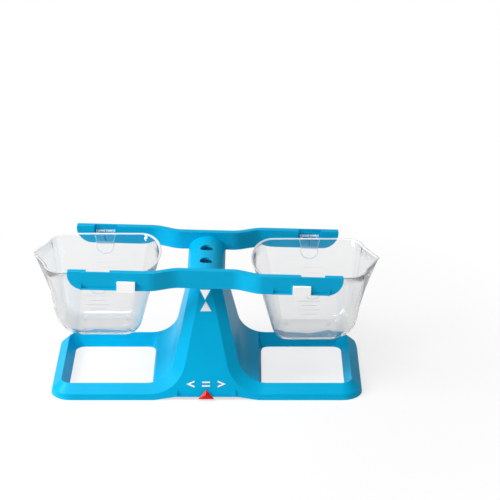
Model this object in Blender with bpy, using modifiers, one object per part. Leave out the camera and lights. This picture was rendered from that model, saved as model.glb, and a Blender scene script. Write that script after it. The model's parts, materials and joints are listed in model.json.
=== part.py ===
"""Bucket balance for a classroom, modelled as its separate moulded pieces.

A hollow stand carries a tilting beam on a knife ridge. Two clear buckets hang in notches of the beam,
two small clips slide along its front rail to zero it, and a red slider under the signs on the stand
marks which side is heavier. Sizes are in metres, the floor is at z = 0, and the front faces -Y.
"""

import math

import bmesh
import bpy
from mathutils import Matrix, Vector

MM = 0.001

# Clearances
REST_GAP = 0.3 * MM
PRINT_GAP = 0.1 * MM
OVERLAP = 1.0 * MM
CUT_SPARE = 12.0 * MM

# Stand: outline on the floor, the ring of its two loops, and its wall
STAND_LENGTH = 380 * MM
STAND_DEPTH = 163 * MM
STAND_CORNER_RADIUS = 25 * MM
STAND_WALL = 2.2 * MM
SKIRT_HEIGHT = 7 * MM
RIDGE_HEIGHT = 17 * MM
RIDGE_INSET = 13 * MM
RING_WIDTH = 21 * MM
OPENING_INNER_X = 66 * MM
OPENING_CORNER_RADIUS = 11 * MM

# Stand: pillar
PANEL_LEAN = 0.272
PANEL_FOOT_HALF_WIDTH = 34.1 * MM
PANEL_TAPER = 0.2065
PANEL_SWEEP_RADIUS = 44.6 * MM
SIDE_FOOT_HALF_WIDTH = 48 * MM
SIDE_TAPER = 0.22
SIDE_SWEEP_RADIUS = 36 * MM
RELIEF_HEIGHT = 3.9 * MM
RELIEF_HALF_WIDTH = 38 * MM
RELIEF_RAMP = 26 * MM

# Knife ridge that the beam rocks on
FULCRUM_HEIGHT = 150 * MM
KNIFE_HEIGHT = 10.5 * MM
KNIFE_FOOT_HALF_WIDTH = 5 * MM
KNIFE_TIP_HALF_WIDTH = 0.3 * MM
KNIFE_HALF_LENGTH = 34 * MM

# Beam, measured from its fulcrum
BEAM_TILT = math.radians(1.57)
BEAM_HALF_LENGTH = 163.4 * MM
RAIL_OUTER_Y = 73 * MM
RAIL_WIDTH = 8 * MM
RAIL_HEIGHT = 22.8 * MM
RAIL_TOP_ABOVE_FULCRUM = 12.8 * MM
RAIL_WALL = 2.5 * MM
RAIL_WEB = 2 * MM
RAIL_WEB_ABOVE_FOOT = 8 * MM
RAIL_WEB_SETBACK = 0.3 * MM
RAIL_LOWER_CORNER_RADIUS = 19.5 * MM
RAIL_UPPER_CORNER_RADIUS = 1.5 * MM
PINCH = 11.5 * MM
PINCH_HALF_LENGTH = 31 * MM
PINCH_BEND_LENGTH = 38 * MM

# Saddle between the rails
SADDLE_HALF_WIDTH = 20.8 * MM
SADDLE_FLARE = 0.3
SADDLE_WALL = 2.5 * MM
SADDLE_CREST_BELOW_RAIL_TOP = 5 * MM
SADDLE_RISE = 10.8 * MM
SADDLE_END_STEP = 0.5 * MM
CROWN_HOLE_RADIUS = 8 * MM
CROWN_HOLE_Y = 18.5 * MM
SEAT_RIB_Y = 30 * MM
SEAT_RIB_THICKNESS = 2.5 * MM
SEAT_NOTCH_HALF_WIDTH = 9.6 * MM
SEAT_NOTCH_HEIGHT = 5.8 * MM

# Pockets in the rails that the buckets hang in
HOOK_FROM_BEAM_END = 36 * MM
POCKET_HALF_LENGTH = 14.1 * MM
POCKET_DEPTH = 12.5 * MM
NOTCH_DEPTH = 5.3 * MM
NOTCH_HALF_WIDTH = 4.5 * MM

# Zero clips on the front rail, and their tracks
TRACK_FROM_BEAM_END = 17.1 * MM
TRACK_LENGTH = 65.4 * MM
TRACK_THICKNESS = 2 * MM
TRACK_PROUD = 1.8 * MM
TRACK_ABOVE_RAIL_FOOT = 0.8 * MM
TRACK_STOP_HEIGHT = 7.2 * MM
TRACK_STOP_THICKNESS = 1.5 * MM
CLIP_LENGTH = 21.6 * MM
CLIP_HEIGHT = 12.3 * MM
CLIP_WALL = 1.2 * MM
CLIP_FLOOR = 0.9 * MM
CLIP_BELOW_KNIFE = 0.6 * MM
LEFT_CLIP_FROM_STOP = 1.9 * MM
RIGHT_CLIP_FROM_STOP = 22.8 * MM

# Pointer under the front rail and the marks on the stand
POINTER_WIDTH = 16 * MM
POINTER_DROP = 16.9 * MM
POINTER_THICKNESS = 2 * MM
POINTER_SETBACK = 0.2 * MM
MARK_THICKNESS = 0.4 * MM
POINTER_PRINT_WIDTH = 12.2 * MM
POINTER_PRINT_BELOW_RAIL = 1.3 * MM
INDEX_WIDTH = 13.4 * MM
INDEX_HEIGHT = 12 * MM
INDEX_BELOW_PILLAR_TOP = 22 * MM
SIGN_MIDDLE_HEIGHT = 19.4 * MM
SIGN_SPACING = 18.9 * MM
SIGN_WIDTH = 9.6 * MM
SIGN_HEIGHT = 8.4 * MM
SIGN_STROKE = 1.7 * MM
EQUALS_PITCH = 4.4 * MM

# Red slider on the stand's lower front edge, and its track
SLIDER_WIDTH = 19 * MM
SLIDER_HEIGHT = 11.2 * MM
SLIDER_PROUD = 5.4 * MM
SLIDER_PEAK_SHARE = 0.55
SLIDER_EDGE_THICKNESS = 2.3 * MM
SLIDER_LIP_HEIGHT = 7 * MM
SLIDER_FLOOR_GAP = 1.9 * MM
SIGN_TRACK_HALF_LENGTH = 34.6 * MM
SIGN_TRACK_THICKNESS = 1.0 * MM
SIGN_TRACK_PROUD = 1.4 * MM
SIGN_TRACK_ABOVE_EDGE = 0.9 * MM
SIGN_STOP_HEIGHT = 7.5 * MM
STOP_PROUDER = 0.2 * MM

# Buckets, measured from the knife edge that each hangs on
BUCKET_RIM_ABOVE_KNIFE = 11 * MM
BUCKET_HEIGHT = 98 * MM
BUCKET_HALF_LENGTH = 69 * MM
BUCKET_HALF_DEPTH = 58.5 * MM
BUCKET_INBOARD_SHIFT = 3 * MM
BUCKET_DRAFT = 0.27
BUCKET_NOSE_END_DRAFT = 0.13
BUCKET_WALL = 1.8 * MM
BUCKET_BOTTOM_RADIUS = 8 * MM
BUCKET_NOSE_END_RADIUS = 30 * MM
BUCKET_BOTTOM_SQUASH = 0.8
BUCKET_INNER_END_ROUND = 27 * MM
BUCKET_CORNER_LENGTH = 24 * MM
BUCKET_CORNER_DEPTH = 26.5 * MM
BUCKET_NOSE = 16.7 * MM
BUCKET_NOSE_TAPER = 0.24
BUCKET_NOSE_LEAST = 0.2 * MM
RIM_LIP = 1.0 * MM
RIM_LIP_HEIGHT = 2.0 * MM
HANGER_HALF_LENGTH = 11.9 * MM
HANGER_RIB = 2 * MM
HANGER_RIB_X = 9.5 * MM
HANGER_PLATE = 2.3 * MM
HANGER_WALL_GAP = 0.6 * MM
TAB_HALF_WIDTH = 12.7 * MM
TAB_NECK_HALF_WIDTH = 11 * MM
TAB_SHOULDER_DROP = 4.5 * MM
TAB_NECK_DROP = 10 * MM
TAB_CORNER_RADIUS = 2 * MM
TAB_HEIGHT = 28.2 * MM
TAB_THICKNESS = 1.8 * MM
TAB_SET_IN = 0.4 * MM
TAB_BELOW_RIM = 0.4 * MM
FOOT_X = 26.5 * MM
FOOT_Y = 14.5 * MM
FOOT_RADIUS = 2.5 * MM
FOOT_HEIGHT = 1.2 * MM

# Smoothness of round forms
SWEEP_STEPS = 10
CORNER_STEPS = 6
OPENING_STEPS = 4
BEND_STEPS = 10
RIM_CORNER_STEPS = 6
RIM_END_STEPS = 14
BUCKET_NOSE_END_STEPS = 3
BUCKET_BOTTOM_STEPS = 3

# Sizes that follow from those above
OUT_OF_FLOOR = 4 * MM
PANEL_ANGLE = math.atan(PANEL_LEAN)
PILLAR_TOP = FULCRUM_HEIGHT - KNIFE_HEIGHT
INDEX_APEX_HEIGHT = PILLAR_TOP - INDEX_BELOW_PILLAR_TOP
RAIL_INNER_Y = RAIL_OUTER_Y - RAIL_WIDTH
RAIL_FOOT = RAIL_TOP_ABOVE_FULCRUM - RAIL_HEIGHT
HOOK_X = BEAM_HALF_LENGTH - HOOK_FROM_BEAM_END
POCKET_FLOOR = RAIL_TOP_ABOVE_FULCRUM - POCKET_DEPTH
NOTCH_FLOOR = POCKET_FLOOR - NOTCH_DEPTH
SADDLE_CREST = RAIL_TOP_ABOVE_FULCRUM - SADDLE_CREST_BELOW_RAIL_TOP
HANGER_TIP_Y = RAIL_OUTER_Y - RAIL_WALL - HANGER_WALL_GAP
TAB_INNER_Y = BUCKET_HALF_DEPTH - TAB_SET_IN
TRACK_END_X = BEAM_HALF_LENGTH - TRACK_FROM_BEAM_END
TRACK_START_X = TRACK_END_X - TRACK_LENGTH
TRACK_FOOT = RAIL_FOOT + TRACK_ABOVE_RAIL_FOOT
CLIP_LIP_HEIGHT = NOTCH_FLOOR - RAIL_FOOT - CLIP_BELOW_KNIFE
LEFT_CLIP_X = -(TRACK_START_X + LEFT_CLIP_FROM_STOP + CLIP_LENGTH / 2)
RIGHT_CLIP_X = TRACK_START_X + RIGHT_CLIP_FROM_STOP + CLIP_LENGTH / 2
SLIDER_EDGE = RELIEF_HEIGHT / math.cos(PANEL_ANGLE)


def clear_scene():
    for item in list(bpy.data.objects):
        bpy.data.objects.remove(item, do_unlink=True)


def new_collection(name, hidden=False):
    collection = bpy.data.collections.new(name)
    bpy.context.scene.collection.children.link(collection)
    collection.hide_render = hidden
    return collection


def plastic(name, colour, roughness, alpha=1.0):
    material = bpy.data.materials.new(name)
    material.use_nodes = True
    shader = material.node_tree.nodes["Principled BSDF"]
    shader.inputs["Base Color"].default_value = (*colour, 1.0)
    shader.inputs["Roughness"].default_value = roughness
    shader.inputs["Metallic"].default_value = 0.0
    shader.inputs["Alpha"].default_value = alpha
    return material


def add_object(name, mesh_data, collection, parent=None, material=None):
    """Turn a bmesh into a named object; with no material it is a hidden helper."""
    mesh = bpy.data.meshes.new(name)
    mesh_data.to_mesh(mesh)
    mesh_data.free()
    item = bpy.data.objects.new(name, mesh)
    collection.objects.link(item)
    item.parent = parent
    if material:
        mesh.materials.append(material)
    else:
        item.hide_render = True
        item.display_type = "WIRE"
    return item


def add_empty(name, collection, location, turn_x=0.0, turn_y=0.0):
    empty = bpy.data.objects.new(name, None)
    empty.location = location
    empty.rotation_euler = (turn_x, turn_y, 0.0)
    collection.objects.link(empty)
    return empty


def prism(outline, start, end, axis="Z"):
    """Extrude a closed outline from start to end. Along Y the outline is (x, z), along X it is (y, z)."""
    place = {
        "Z": lambda a, b: (a, b, start),
        "Y": lambda a, b: (a, start, b),
        "X": lambda a, b: (start, a, b),
    }[axis]
    step = {"Z": (0, 0, 1), "Y": (0, 1, 0), "X": (1, 0, 0)}[axis]
    shape = bmesh.new()
    face = shape.faces.new([shape.verts.new(place(a, b)) for a, b in outline])
    grown = bmesh.ops.extrude_face_region(shape, geom=[face])["geom"]
    moved = [v for v in grown if isinstance(v, bmesh.types.BMVert)]
    bmesh.ops.translate(shape, verts=moved, vec=Vector(step) * (end - start))
    bmesh.ops.recalc_face_normals(shape, faces=shape.faces)
    return shape


def box(low, high):
    """A box between two opposite corners."""
    middle = (Vector(low) + Vector(high)) / 2
    size = Vector(high) - Vector(low)
    shape = bmesh.new()
    bmesh.ops.create_cube(shape, size=1.0, matrix=Matrix.Translation(middle) @ Matrix.Diagonal((*size, 1.0)))
    return shape


def rectangle(left, right, low, high):
    return [(left, low), (right, low), (right, high), (left, high)]


def arc(centre, radius, start, end, steps):
    """Points on a circle, or on an ellipse when radius is a pair, with angles in radians."""
    wide, high = radius if isinstance(radius, tuple) else (radius, radius)
    turns = [start + (end - start) * i / steps for i in range(steps + 1)]
    return [(centre[0] + wide * math.cos(t), centre[1] + high * math.sin(t)) for t in turns]


def combine(target, operation, helpers):
    for helper in helpers:
        modifier = target.modifiers.new(f"{operation.lower()} {helper.name}", "BOOLEAN")
        modifier.operation = operation
        modifier.solver = "EXACT"
        modifier.object = helper


def shade_round(item, sharp_degrees=35):
    item.data.shade_smooth()
    item.data.set_sharp_from_angle(angle=math.radians(sharp_degrees))


# Stand


def panel_y(height):
    """Y of the leaning front panel at this height, the back being its mirror image."""
    return -STAND_DEPTH / 2 + PANEL_LEAN * height


def sweep_profile(foot, taper, radius, level):
    """(x, z) down a tapering side, then round a fillet until it runs level along the ring."""
    lean = math.atan(taper)
    centre = (foot - taper * (level + radius) + radius / math.cos(lean), level + radius)
    top = (foot - taper * PILLAR_TOP, PILLAR_TOP)
    return [top] + arc(centre, radius, math.pi + lean, 1.5 * math.pi, SWEEP_STEPS)


def corner_points(inset, height):
    """A quarter of the stand's plan corner, from its front side to its end side, then the end's middle."""
    centre = (STAND_LENGTH / 2 - STAND_CORNER_RADIUS, -STAND_DEPTH / 2 + STAND_CORNER_RADIUS)
    bend = arc(centre, STAND_CORNER_RADIUS - inset, -math.pi / 2, 0, CORNER_STEPS)
    return [(x, y, height) for x, y in bend] + [(STAND_LENGTH / 2 - inset, 0, height)]


def opening_points(inset, height):
    """A quarter of a loop's opening, from the pillar side's middle round to the end side's middle."""
    left = OPENING_INNER_X + inset
    right = STAND_LENGTH / 2 - RING_WIDTH - inset
    front = -STAND_DEPTH / 2 + RING_WIDTH + inset
    bend = OPENING_CORNER_RADIUS
    near = arc((left + bend, front + bend), bend, math.pi, 1.5 * math.pi, OPENING_STEPS)
    far = arc((right - bend, front + bend), bend, 1.5 * math.pi, 2 * math.pi, CORNER_STEPS)
    return [(x, y, height) for x, y in [(left, 0), *near, *far, (right, 0)]]


def loft(shape, first, second):
    """Quads between two chains of vertices of the same length."""
    for i in range(len(first) - 1):
        shape.faces.new([first[i], first[i + 1], second[i + 1], second[i]])


def stand_quarter():
    """The front right quarter of the stand's outer skin, left open under the floor line."""
    shape = bmesh.new()
    panel = sweep_profile(PANEL_FOOT_HALF_WIDTH, PANEL_TAPER, PANEL_SWEEP_RADIUS, SKIRT_HEIGHT)
    side = sweep_profile(SIDE_FOOT_HALF_WIDTH, SIDE_TAPER, SIDE_SWEEP_RADIUS, RIDGE_HEIGHT)
    band_depth = RIDGE_INSET - PANEL_LEAN * RIDGE_HEIGHT
    low = -OUT_OF_FLOOR

    def chain(points):
        return [shape.verts.new(p) for p in points]

    skirt_low = chain([(x, panel_y(low), low) for x, _ in panel[1:]] + corner_points(PANEL_LEAN * low, low))
    skirt_top = chain(
        [(x, panel_y(z), z) for x, z in panel] + corner_points(PANEL_LEAN * SKIRT_HEIGHT, SKIRT_HEIGHT)
    )
    ridge = chain([(x, panel_y(z) + band_depth, z) for x, z in side] + corner_points(RIDGE_INSET, RIDGE_HEIGHT))
    loft(shape, skirt_low, skirt_top[1:])
    loft(shape, skirt_top, ridge)

    # The side wall runs straight back from the ridge line, down to where the loop's inner wall begins
    last = len(side) - 3
    shares = (0.86, 0.72, 0.0)
    columns = [[ridge[i]] for i in range(last + 1)]
    for column in columns:
        x, y, z = column[0].co
        column.extend(chain([(x, y * share, z) for share in shares]))
    for upper, lower in zip(columns, columns[1:]):
        loft(shape, upper, lower)

    inner_slope = (RING_WIDTH - RIDGE_INSET) / RIDGE_HEIGHT
    opening = chain(opening_points(inner_slope * OUT_OF_FLOOR, low))
    loft(shape, columns[last][:0:-1] + ridge[last:], opening)

    panel_foot, panel_head, top_middle = chain(
        [(0, panel_y(low), low), (0, panel_y(PILLAR_TOP), PILLAR_TOP), (0, 0, PILLAR_TOP)]
    )
    shape.faces.new([panel_foot, skirt_low[0], skirt_top[1], skirt_top[0], panel_head])
    shape.faces.new([panel_head, skirt_top[0], *columns[0], top_middle])
    bmesh.ops.recalc_face_normals(shape, faces=shape.faces)
    shape.faces.ensure_lookup_table()
    if shape.faces[-1].normal.z < 0:
        bmesh.ops.reverse_faces(shape, faces=shape.faces)
    return shape


def build_stand(parts, cutters, blue, panel_frame):
    stand = add_object("stand", stand_quarter(), parts, material=blue)
    mirror = stand.modifiers.new("four quarters", "MIRROR")
    mirror.use_axis = (True, True, False)
    mirror.merge_threshold = 0.00001
    wall = stand.modifiers.new("wall", "SOLIDIFY")
    wall.thickness = STAND_WALL
    wall.offset = -1.0
    wall.use_even_offset = True

    # The floor plane, raised under the pillar where the slider hooks on
    far = STAND_LENGTH
    ramp_foot = RELIEF_HALF_WIDTH + RELIEF_RAMP
    floor = [(-far, -far), (far, -far), (far, 0), (ramp_foot, 0), (RELIEF_HALF_WIDTH, RELIEF_HEIGHT)]
    floor += [(-RELIEF_HALF_WIDTH, RELIEF_HEIGHT), (-ramp_foot, 0), (-far, 0)]
    combine(stand, "DIFFERENCE", [add_object("floor_cutter", prism(floor, -far, far, "Y"), cutters)])

    knife = [
        (-KNIFE_FOOT_HALF_WIDTH, PILLAR_TOP - OVERLAP),
        (KNIFE_FOOT_HALF_WIDTH, PILLAR_TOP - OVERLAP),
        (KNIFE_FOOT_HALF_WIDTH, PILLAR_TOP),
        (KNIFE_TIP_HALF_WIDTH, FULCRUM_HEIGHT),
        (-KNIFE_TIP_HALF_WIDTH, FULCRUM_HEIGHT),
        (-KNIFE_FOOT_HALF_WIDTH, PILLAR_TOP),
    ]
    ridge = add_object("knife_ridge", prism(knife, -KNIFE_HALF_LENGTH, KNIFE_HALF_LENGTH, "Y"), cutters)

    foot = SLIDER_EDGE + SIGN_TRACK_ABOVE_EDGE
    reach = SIGN_TRACK_HALF_LENGTH
    proud = -SIGN_TRACK_PROUD
    ledge_end = reach + SIGN_TRACK_THICKNESS / 2
    track = box((-ledge_end, proud, foot), (ledge_end, OVERLAP, foot + SIGN_TRACK_THICKNESS))
    helpers = [ridge, add_object("sign_track", track, cutters, panel_frame)]
    for side in (-1, 1):
        near, past = sorted((side * reach, side * (reach + SIGN_TRACK_THICKNESS)))
        low = (near, proud - STOP_PROUDER, foot - STOP_PROUDER)
        stop = box(low, (past, OVERLAP + STOP_PROUDER, foot + SIGN_STOP_HEIGHT))
        helpers.append(add_object(f"sign_track_stop_{side:+d}", stop, cutters, panel_frame))
    combine(stand, "UNION", helpers)
    shade_round(stand)
    return stand


# Beam, in a frame with its origin on the fulcrum


def rail_outer(x):
    """Y of the rail's outer face, which draws in towards the saddle by a smooth bend."""
    share = (abs(x) - PINCH_HALF_LENGTH) / PINCH_BEND_LENGTH
    share = min(max(share, 0.0), 1.0)
    return RAIL_OUTER_Y - PINCH * (1 + math.cos(math.pi * share)) / 2


def rail_stations(reach):
    bends = [PINCH_HALF_LENGTH + PINCH_BEND_LENGTH * i / BEND_STEPS for i in range(BEND_STEPS + 1)]
    half = [x for x in bends if x < reach] + [reach]
    return [-x for x in reversed(half)] + half


def rail_plan(side, reach, outer_inset, inner_inset):
    """Closed plan outline of one rail, side -1 at the front and 1 at the back."""
    stations = rail_stations(reach)
    outer = [(x, side * (rail_outer(x) - outer_inset)) for x in stations]
    inner = [(x, side * (rail_outer(x) - RAIL_WIDTH + inner_inset)) for x in reversed(stations)]
    return outer + inner


def beam_side_outline():
    """Side view of the rails: nearly square at the top, generously rounded below."""
    top, foot, half = RAIL_TOP_ABOVE_FULCRUM, RAIL_FOOT, BEAM_HALF_LENGTH
    low, high = RAIL_LOWER_CORNER_RADIUS, RAIL_UPPER_CORNER_RADIUS
    quarter = math.pi / 2
    return (
        arc((half - low, foot + low), low, -quarter, 0, 8)
        + arc((half - high, top - high), high, 0, quarter, 3)
        + arc((-half + high, top - high), high, quarter, 2 * quarter, 3)
        + arc((-half + low, foot + low), low, 2 * quarter, 3 * quarter, 8)
    )


def saddle_outline(inset, foot):
    """Side view of the saddle: slightly flared walls under a round crown."""
    half = SADDLE_HALF_WIDTH - inset
    crest = SADDLE_CREST - inset
    shoulder = SADDLE_CREST - SADDLE_RISE
    wide = half + SADDLE_FLARE * (shoulder - foot)
    rise = crest - shoulder
    radius = (half**2 + rise**2) / (2 * rise)
    spread = math.asin(half / radius)
    crown = arc((0, crest - radius), radius, math.pi / 2 - spread, math.pi / 2 + spread, 16)
    return [(-wide, foot), (wide, foot)] + crown


def seat_rib_outline():
    """A rib inside the saddle with the inverted notch that sits on the knife ridge."""
    half = SADDLE_HALF_WIDTH - SADDLE_WALL / 2
    foot = REST_GAP - SEAT_NOTCH_HEIGHT
    crown = saddle_outline(SADDLE_WALL / 2, foot)[2:]
    notch = [(-half, foot), (-SEAT_NOTCH_HALF_WIDTH, foot), (0, REST_GAP), (SEAT_NOTCH_HALF_WIDTH, foot), (half, foot)]
    return notch + crown


def beam_cutters(cutters, fulcrum):
    helpers = []

    def cut(name, shape):
        helpers.append(add_object(name, shape, cutters, fulcrum))

    ceiling = RAIL_TOP_ABOVE_FULCRUM - RAIL_WALL
    below = RAIL_FOOT - CUT_SPARE
    for depth, row in ((-1, "front"), (1, "rear")):
        plan = rail_plan(depth, BEAM_HALF_LENGTH - RAIL_WALL, RAIL_WALL, RAIL_WALL)
        cut(f"{row}_rail_hollow", prism(plan, below, ceiling))
        wall_near, wall_far = sorted((depth * (RAIL_INNER_Y - OVERLAP), depth * (RAIL_INNER_Y + RAIL_WALL + OVERLAP)))
        high = RAIL_TOP_ABOVE_FULCRUM + CUT_SPARE
        pocket = [(RAIL_INNER_Y - OVERLAP, POCKET_FLOOR), (RAIL_INNER_Y + RAIL_WALL, POCKET_FLOOR)]
        pocket += [(RAIL_INNER_Y + RAIL_WALL, below), (RAIL_OUTER_Y - RAIL_WALL, below)]
        pocket += [(RAIL_OUTER_Y - RAIL_WALL, high), (RAIL_INNER_Y - OVERLAP, high)]
        pocket = [(depth * y, z) for y, z in pocket]
        for side, end in ((-1, "left"), (1, "right")):
            left, right = side * HOOK_X - POCKET_HALF_LENGTH, side * HOOK_X + POCKET_HALF_LENGTH
            cut(f"{row}_{end}_pocket", prism(pocket, left, right, "X"))
            notch = [
                (side * HOOK_X, NOTCH_FLOOR),
                (side * HOOK_X + 2 * NOTCH_HALF_WIDTH, NOTCH_FLOOR + 2 * NOTCH_DEPTH),
                (side * HOOK_X - 2 * NOTCH_HALF_WIDTH, NOTCH_FLOOR + 2 * NOTCH_DEPTH),
            ]
            cut(f"{row}_{end}_notch", prism(notch, wall_near, wall_far, "Y"))
        hole = bmesh.new()
        place = Matrix.Translation((0, depth * CROWN_HOLE_Y, SADDLE_CREST))
        bmesh.ops.create_cone(
            hole, cap_ends=True, segments=24, radius1=CROWN_HOLE_RADIUS, radius2=CROWN_HOLE_RADIUS,
            depth=2 * CUT_SPARE, matrix=place,
        )
        cut(f"{row}_crown_hole", hole)
    inside_y = RAIL_INNER_Y - PINCH - SADDLE_END_STEP
    cut("saddle_hollow", prism(saddle_outline(SADDLE_WALL, below), -inside_y, inside_y, "Y"))
    return helpers


def beam_additions(cutters, fulcrum):
    helpers = []

    def join(name, shape):
        helpers.append(add_object(name, shape, cutters, fulcrum))

    for depth, row in ((-1, "front"), (1, "rear")):
        middle = depth * SEAT_RIB_Y
        half = SEAT_RIB_THICKNESS / 2
        join(f"{row}_seat_rib", prism(seat_rib_outline(), middle - half, middle + half, "Y"))
        near, far = sorted((depth * (RAIL_INNER_Y + RAIL_WALL / 2), depth * (RAIL_OUTER_Y - RAIL_WALL / 2)))
        low, high = RAIL_FOOT + RAIL_WEB_ABOVE_FOOT, RAIL_TOP_ABOVE_FULCRUM - RAIL_WALL / 2
        for side, end in ((-1, "left"), (1, "right")):
            for way, place in ((-1, "first"), (1, "second")):
                face = side * HOOK_X + way * (POCKET_HALF_LENGTH + RAIL_WEB_SETBACK)
                left, right = sorted((face, face + way * RAIL_WEB))
                join(f"{row}_{end}_{place}_web", box((left, near, low), (right, far, high)))

    face = -rail_outer(0)
    drop = RAIL_FOOT - POINTER_DROP
    pointer = [(-POINTER_WIDTH / 2, RAIL_FOOT + OVERLAP), (-POINTER_WIDTH / 2, RAIL_FOOT), (0, drop)]
    pointer += [(POINTER_WIDTH / 2, RAIL_FOOT), (POINTER_WIDTH / 2, RAIL_FOOT + OVERLAP)]
    join("pointer_tab", prism(pointer, face + POINTER_SETBACK, face + POINTER_THICKNESS, "Y"))

    front = -RAIL_OUTER_Y
    for side, end in ((-1, "left"), (1, "right")):
        left, right = sorted((side * TRACK_START_X, side * TRACK_END_X))
        half = TRACK_STOP_THICKNESS / 2
        low = (left - half, front - TRACK_PROUD, TRACK_FOOT)
        join(f"{end}_clip_track", box(low, (right + half, front + OVERLAP, TRACK_FOOT + TRACK_THICKNESS)))
        for stop, start in (("first", left - TRACK_STOP_THICKNESS), ("second", right)):
            low = (start, front - TRACK_PROUD - STOP_PROUDER, TRACK_FOOT - STOP_PROUDER)
            high = (start + TRACK_STOP_THICKNESS, front + OVERLAP + STOP_PROUDER, TRACK_FOOT + TRACK_STOP_HEIGHT)
            join(f"{end}_clip_track_{stop}_stop", box(low, high))
    return helpers


def build_beam(parts, cutters, blue, fulcrum):
    foot, top = RAIL_FOOT - OVERLAP, RAIL_TOP_ABOVE_FULCRUM + OVERLAP
    reach = BEAM_HALF_LENGTH + OVERLAP
    beam = add_object("beam", prism(rail_plan(-1, reach, 0, 0), foot, top), parts, fulcrum, blue)
    rear = add_object("rear_rail_block", prism(rail_plan(1, reach, 0, 0), foot, top), cutters, fulcrum)
    across = RAIL_INNER_Y - PINCH + RAIL_WALL / 2
    saddle = add_object("saddle_block", prism(saddle_outline(0, foot), -across, across, "Y"), cutters, fulcrum)
    span = RAIL_OUTER_Y + CUT_SPARE
    sides = add_object("rail_side_outline", prism(beam_side_outline(), -span, span, "Y"), cutters, fulcrum)
    combine(beam, "UNION", [rear, saddle])
    combine(beam, "INTERSECT", [sides])
    combine(beam, "DIFFERENCE", beam_cutters(cutters, fulcrum))
    combine(beam, "UNION", beam_additions(cutters, fulcrum))
    shade_round(beam)
    return beam


# Zero clips, each with its origin on the rail's outer face at the rail's foot


def clip_outline():
    """(y, z) round the clip: front plate over the track, floor under the rail, lip up inside it."""
    front = -TRACK_PROUD - REST_GAP - CLIP_WALL
    wall_back = RAIL_WALL + REST_GAP
    track_low = TRACK_ABOVE_RAIL_FOOT - REST_GAP
    track_high = TRACK_ABOVE_RAIL_FOOT + TRACK_THICKNESS + REST_GAP
    groove = -TRACK_PROUD - REST_GAP
    floor = -REST_GAP
    return [
        (front, floor - CLIP_FLOOR),
        (wall_back + CLIP_WALL, floor - CLIP_FLOOR),
        (wall_back + CLIP_WALL, CLIP_LIP_HEIGHT),
        (wall_back, CLIP_LIP_HEIGHT),
        (wall_back, floor),
        (-REST_GAP, floor),
        (-REST_GAP, track_low),
        (groove, track_low),
        (groove, track_high),
        (-REST_GAP, track_high),
        (-REST_GAP, CLIP_HEIGHT),
        (front + CLIP_WALL / 2, CLIP_HEIGHT),
        (front, CLIP_HEIGHT - CLIP_WALL / 2),
    ]


def build_clip(name, x, parts, white, fulcrum):
    clip = add_object(name, prism(clip_outline(), -CLIP_LENGTH / 2, CLIP_LENGTH / 2, "X"), parts, fulcrum, white)
    clip.location = (x, -RAIL_OUTER_Y, RAIL_FOOT)
    return clip


# Marks


def triangle(width, foot, apex):
    return [(-width / 2, foot), (0, apex), (width / 2, foot)]


def build_marks(parts, white, panel_frame, fulcrum):
    back = -PRINT_GAP
    front = back - MARK_THICKNESS

    def on_panel(name, outline, x=0.0, height=0.0):
        mark = add_object(name, prism(outline, front, back, "Y"), parts, panel_frame, white)
        mark.location = (x, 0, height / math.cos(PANEL_ANGLE))

    on_panel("index_triangle", triangle(INDEX_WIDTH, -INDEX_HEIGHT, 0), height=INDEX_APEX_HEIGHT)
    half_width, half_height = SIGN_WIDTH / 2, SIGN_HEIGHT / 2
    run = SIGN_STROKE * 1.15
    less = [
        (-half_width, 0),
        (half_width, -half_height),
        (half_width, -half_height + run),
        (-half_width + 2 * run, 0),
        (half_width, half_height - run),
        (half_width, half_height),
    ]
    on_panel("less_than_mark", less, -SIGN_SPACING, SIGN_MIDDLE_HEIGHT)
    on_panel("greater_than_mark", [(-x, z) for x, z in less], SIGN_SPACING, SIGN_MIDDLE_HEIGHT)
    bar = rectangle(-half_width, half_width, -SIGN_STROKE / 2, SIGN_STROKE / 2)
    on_panel("equals_mark_upper", bar, 0, SIGN_MIDDLE_HEIGHT + EQUALS_PITCH / 2)
    on_panel("equals_mark_lower", bar, 0, SIGN_MIDDLE_HEIGHT - EQUALS_PITCH / 2)

    face = -rail_outer(0)
    top = RAIL_FOOT - POINTER_PRINT_BELOW_RAIL
    outline = triangle(POINTER_PRINT_WIDTH, top, top - POINTER_DROP * POINTER_PRINT_WIDTH / POINTER_WIDTH)
    add_object("pointer_triangle", prism(outline, face + front, face + back, "Y"), parts, fulcrum, white)


# Red slider, in the panel's frame with its origin on the stand's lower edge


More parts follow.
